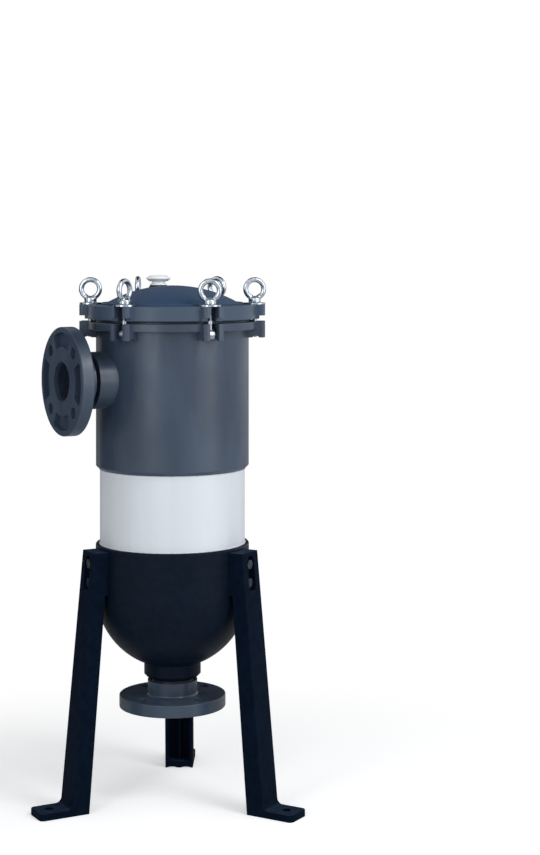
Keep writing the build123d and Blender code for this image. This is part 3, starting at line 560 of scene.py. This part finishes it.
# Lid
# A domed disc of the head's compound with six slotted lugs and a low step round the dome; it
# lifts straight off. The dome's skin is duller than the turned flange, and the dome is painted
# darker than the flange: painted shade.
washer_and_play = 0.0027
flange_top = nut_foot - washer_and_play
flange_skin, dome_skin, patchiness = flange_top - 0.0004, flange_top + 0.0002, 0.2
slate_lid = compound("slate_lid", roughness=0.4, gloss=0.25)
lid_nodes, lid_links = slate_lid.node_tree.nodes, slate_lid.node_tree.links
lid_place = lid_nodes.new("ShaderNodeTexCoord")
lid_height = lid_nodes.new("ShaderNodeSeparateXYZ")
lid_patches_and_painted_shade = lid_nodes.new("ShaderNodeMath")
lid_patches_and_painted_shade.operation = "MULTIPLY_ADD"
lid_patches_and_painted_shade.inputs[1].default_value = patchiness
lid_links.new(lid_place.outputs["Object"], lid_height.inputs[0])
lid_links.new(grain(slate_lid, 0.04), lid_patches_and_painted_shade.inputs[0])
# The flange is paler and the dome darker by height: painted shade on the dome.
lid_out_of_painted_shade = spread(slate_lid, lid_height.outputs["Z"], 0.72, 0.0, start=flange_skin, end=dome_skin)
lid_links.new(lid_out_of_painted_shade, lid_patches_and_painted_shade.inputs[2])
mottle(slate_lid, lid_patches_and_painted_shade.outputs[0], chip(49, 71, 98), chip(66, 80, 98))
lid_dullness = spread(slate_lid, lid_height.outputs["Z"], 0.34, 0.55, start=flange_skin, end=dome_skin)
polish(slate_lid, lid_dullness)
surface(slate_lid, grain(slate_lid, 0.0016, detail=2.0), depth=0.00006, edge=0.0007)
dress(slate_lid, "lid")
step_r, step_inner_r, step_height, step_chamfer = 0.1105, 0.1005, 0.0030, 0.0007
step_root, step_top = flange_top - 0.0003, flange_top + step_height
step_shape = turned([(step_inner_r, step_root), (step_r, step_root), (step_r, step_top - step_chamfer),
                     (step_r - step_chamfer, step_top), (step_inner_r, step_top)], steps=192)
made("lid_step", step_shape, slate_lid, "lid", crease=30)

# Seals
# O-ring in the head's sealing land and flat ring under the vent plug: matt black EPDM,
# moulded.
black_rubber = compound("black_rubber", roughness=0.55, gloss=0.3)
mottle(black_rubber, grain(black_rubber, 0.004), chip(20, 20, 22), chip(32, 32, 34))
surface(black_rubber, grain(black_rubber, 0.0005), depth=0.00003)
dress(black_rubber, "lid_seal", "vent_seal")

# Vent plug
# A turned white plastic screw with a mushroom cap, bevelled above and below its rim, screwed
# down on its flat seal in the dome's boss.
white_cap = compound("white_cap", roughness=0.38, gloss=0.4)
mottle(white_cap, grain(white_cap, 0.008), chip(240, 244, 246), chip(250, 252, 252))
surface(white_cap, grain(white_cap, 0.0008), depth=0.00003, edge=0.0004)
vent_low, vent_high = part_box("vent_plug")
vent_axis = Vector(((vent_low[0] + vent_high[0]) / 2, (vent_low[1] + vent_high[1]) / 2, 0))
vent_foot, vent_seal_top = vent_low[2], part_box("vent_seal")[1][2]
stem_r, stem_chamfer = 0.010, 0.0015
cap_r, cap_top, cap_drop = (vent_high[0] - vent_low[0]) / 2, vent_high[2] - 0.0003, 0.0098
stem = [(0.0, vent_foot), (stem_r - stem_chamfer, vent_foot), (stem_r, vent_foot + stem_chamfer),
        (stem_r, vent_seal_top)]
flare = [(0.0035, 0.0), (0.0032, 0.0010), (0.0008, 0.0028)]
cap = [(0.0047, 0.0087), (0.0004, 0.0052), (0.0, 0.0046), (0.0003, 0.0040), (0.0050, 0.0004), (0.0060, 0.0)]
vent_shape = turned(stem + [(stem_r + out, vent_seal_top + rise) for out, rise in flare]
                    + [(stem_r, cap_top - cap_drop)]
                    + [(cap_r - inset, cap_top - drop) for inset, drop in cap] + [(0.0, cap_top)], steps=96)
vent_shape.transform(Matrix.Translation(vent_axis))
vent_cap = made("vent_plug_cap", vent_shape, white_cap, "vent_plug", crease=28)
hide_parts("vent_plug")

# Bag seat, basket and bag collar
# The seat ring is cut from white pipe compound. The perforated basket is moulded in natural
# polypropylene, and the bag's collar with its two pull hoops in white.
dress(white_pipe, "bag_seat")
natural_pp = compound("natural_pp", roughness=0.45, gloss=0.35)
mottle(natural_pp, grain(natural_pp, 0.03, (1, 1, 3)), chip(192, 197, 199), chip(202, 206, 208))
surface(natural_pp, grain(natural_pp, 0.001), depth=0.00004, edge=0.0005)
dress(natural_pp, "basket")
collar_white = compound("collar_white", roughness=0.45, gloss=0.35)
mottle(collar_white, grain(collar_white, 0.01), chip(216, 216, 210), chip(234, 234, 231))
surface(collar_white, grain(collar_white, 0.001), depth=0.00003, edge=0.0004)
dress(collar_white, "bag_collar")

# Filter bag
# A sewn bag of needled polypropylene felt, 2 mm thick, with a lapped side seam, a row of
# stitching round its gathered bottom and slight folds where it hangs from its collar.
felt_white = compound("felt_white", roughness=0.95, gloss=0.1)
felt_white.node_tree.nodes["Principled BSDF"].inputs["Sheen Weight"].default_value = 0.25
felt_fibres = grain(felt_white, 0.0011, (1, 1, 1.8), detail=7.0)
mottle(felt_white, felt_fibres, chip(214, 211, 200), chip(235, 233, 226))
surface(felt_white, grain(felt_white, 0.0007, detail=8.0), depth=0.0005)
bag_low, bag_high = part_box("filter_bag")
bag_play = 0.0002
bag_r = (bag_high[0] - bag_low[0]) / 2 - bag_play
bag_foot, bag_mouth = bag_low[2] + bag_play, bag_high[2] - bag_play
bag_height = bag_mouth - bag_foot
felt_thickness, bottom_edge = 0.0021, 0.009
bottom_flat, bottom_round = bag_r - bottom_edge, bottom_edge * pi / 2
wall_starts = bottom_flat + bottom_round
bag_length = wall_starts + bag_height - bottom_edge
fold_depth, gather_depth, gather_reach, gathers = 0.0036, 0.0009, 0.022, 40
bottom_lift, lift_starts = 0.0006, 0.02


def bag_point(along, turn):
    """A point of the bag's outside: along runs from the bottom's middle out and up to the mouth."""
    if along < bottom_flat:
        r, z = along, 0.0
    elif along < wall_starts:
        lie = (along - bottom_flat) / bottom_edge
        r, z = bottom_flat + bottom_edge * sin(lie), bottom_edge * (1 - cos(lie))
    else:
        r, z = bag_r, bottom_edge + along - bottom_flat - bottom_round
    # Nine slack folds that lean and fade as they climb, and gathers round the bottom edge.
    up = z / bag_height
    free = max(0.0, sin(pi * min(1.0, up))) if z > bottom_edge else 0.0
    fold = 0.5 + 0.5 * sin(9 * turn + 2.4 * sin(7 * up + turn)) * cos(4 * turn + 5 * up)
    near_edge = max(0.0, 1 - abs(z - bottom_edge) / gather_reach) if z > 0 else 0.0
    gather = (0.5 + 0.5 * cos(gathers * turn)) * near_edge
    r -= fold_depth * free * fold + gather_depth * gather
    lift = bottom_lift * (0.5 + 0.5 * sin(5 * turn)) * min(1.0, r / lift_starts) if z == 0.0 else 0.0
    return Vector((r * cos(turn), r * sin(turn), bag_foot + z + lift))


bag_rows, bag_around = 110, 240
bag_shape = bmesh.new()
bottom_middle = bag_shape.verts.new((0, 0, bag_foot))
rows = []
for row in range(1, bag_rows + 1):
    along = bag_length * row / bag_rows
    rows.append([bag_shape.verts.new(bag_point(along, 2 * pi * k / bag_around)) for k in range(bag_around)])
for k in range(bag_around):
    after = (k + 1) % bag_around
    bag_shape.faces.new((bottom_middle, rows[0][after], rows[0][k]))
    for lower, upper in zip(rows, rows[1:]):
        bag_shape.faces.new((lower[k], lower[after], upper[after], upper[k]))
felt_bag = made("filter_bag_felt", bag_shape, felt_white, "bag", crease=80)
wall = felt_bag.modifiers.new("wall", "SOLIDIFY")
wall.thickness = felt_thickness
wall.offset = -1.0
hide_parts("filter_bag")

seam_turn, seam_first_row = radians(250), 28
seam_half, seam_flat, seam_rise, seam_root = 0.0045, 0.86, 0.0011, -0.0004
seam_section = ((-1, seam_root), (-seam_flat, seam_rise), (seam_flat, seam_rise), (1, seam_root))


def inside_r(place):
    """How far from the axis the felt's inner face lies behind a point of the bag's outside."""
    return Vector((place.x, place.y)).length - felt_thickness


seam_shape = bmesh.new()
seam = []
for row in range(seam_first_row, bag_rows + 1):
    place = bag_point(bag_length * row / bag_rows, seam_turn)
    felt_r = inside_r(place)
    section = []
    for side, rise in seam_section:
        r, turn = felt_r - rise, seam_turn + side * seam_half / felt_r
        section.append(seam_shape.verts.new((r * cos(turn), r * sin(turn), place.z)))
    seam.append(section)
skin(seam_shape, seam)
ends(seam_shape, seam)
bmesh.ops.recalc_face_normals(seam_shape, faces=seam_shape.faces)
made("bag_side_seam", seam_shape, felt_white, "bag", crease=35)

# Bag stitching
# White polyester sewing thread: two rows of stitches along the side seam and one row round
# the bottom, each stitch dipping into the felt at both ends.
thread_white = compound("thread_white", roughness=0.7, gloss=0.2)
mottle(thread_white, grain(thread_white, 0.0006), chip(224, 222, 214), chip(247, 246, 242))
surface(thread_white, grain(thread_white, 0.0004, (1, 1, 3)), depth=0.0001)
stitch_length, stitch_pitch, stitch_proud, stitch_dip = 0.0030, 0.0038, 0.0002, 0.0018
strand_r, strand_sides, stitch_parts = 0.00025, 6, 5
stitches_from, stitches_short, bottom_stitches, bottom_row = 0.016, 0.006, 120, 0.004
stitches = bmesh.new()


def stitch(place, direction, inwards):
    """One sewn stitch: a strand along the direction that dips into the felt at both ends."""
    across = direction.cross(inwards).normalized()
    loops = []
    for part in range(stitch_parts + 1):
        t = part / stitch_parts - 0.5
        middle = place + direction * (stitch_length * t) + inwards * (stitch_proud - stitch_dip * t * t)
        loop = []
        for k in range(strand_sides):
            lie = 2 * pi * k / strand_sides
            loop.append(stitches.verts.new(middle + strand_r * (cos(lie) * across + sin(lie) * inwards)))
        loops.append(loop)
    skin(stitches, loops)
    ends(stitches, loops)


for side in (-0.5, 0.5):
    height = bag_foot + stitches_from
    while height < bag_mouth - stitches_short:
        r = inside_r(bag_point(height - bag_foot - bottom_edge + wall_starts, seam_turn)) - seam_rise
        turn = seam_turn + side * seam_half / r
        inwards = Vector((-cos(turn), -sin(turn), 0))
        stitch(Vector((r * cos(turn), r * sin(turn), height)), Vector((0, 0, 1)), inwards)
        height += stitch_pitch
for k in range(bottom_stitches):
    turn = 2 * pi * k / bottom_stitches
    place = bag_point(wall_starts + bottom_row, turn)
    r = inside_r(place)
    along_row, inwards = Vector((-sin(turn), cos(turn), 0)), Vector((-cos(turn), -sin(turn), 0))
    stitch(Vector((r * cos(turn), r * sin(turn), place.z)), along_row, inwards)
bmesh.ops.recalc_face_normals(stitches, faces=stitches.faces)
made("bag_stitches", stitches, thread_white, "bag", crease=80)
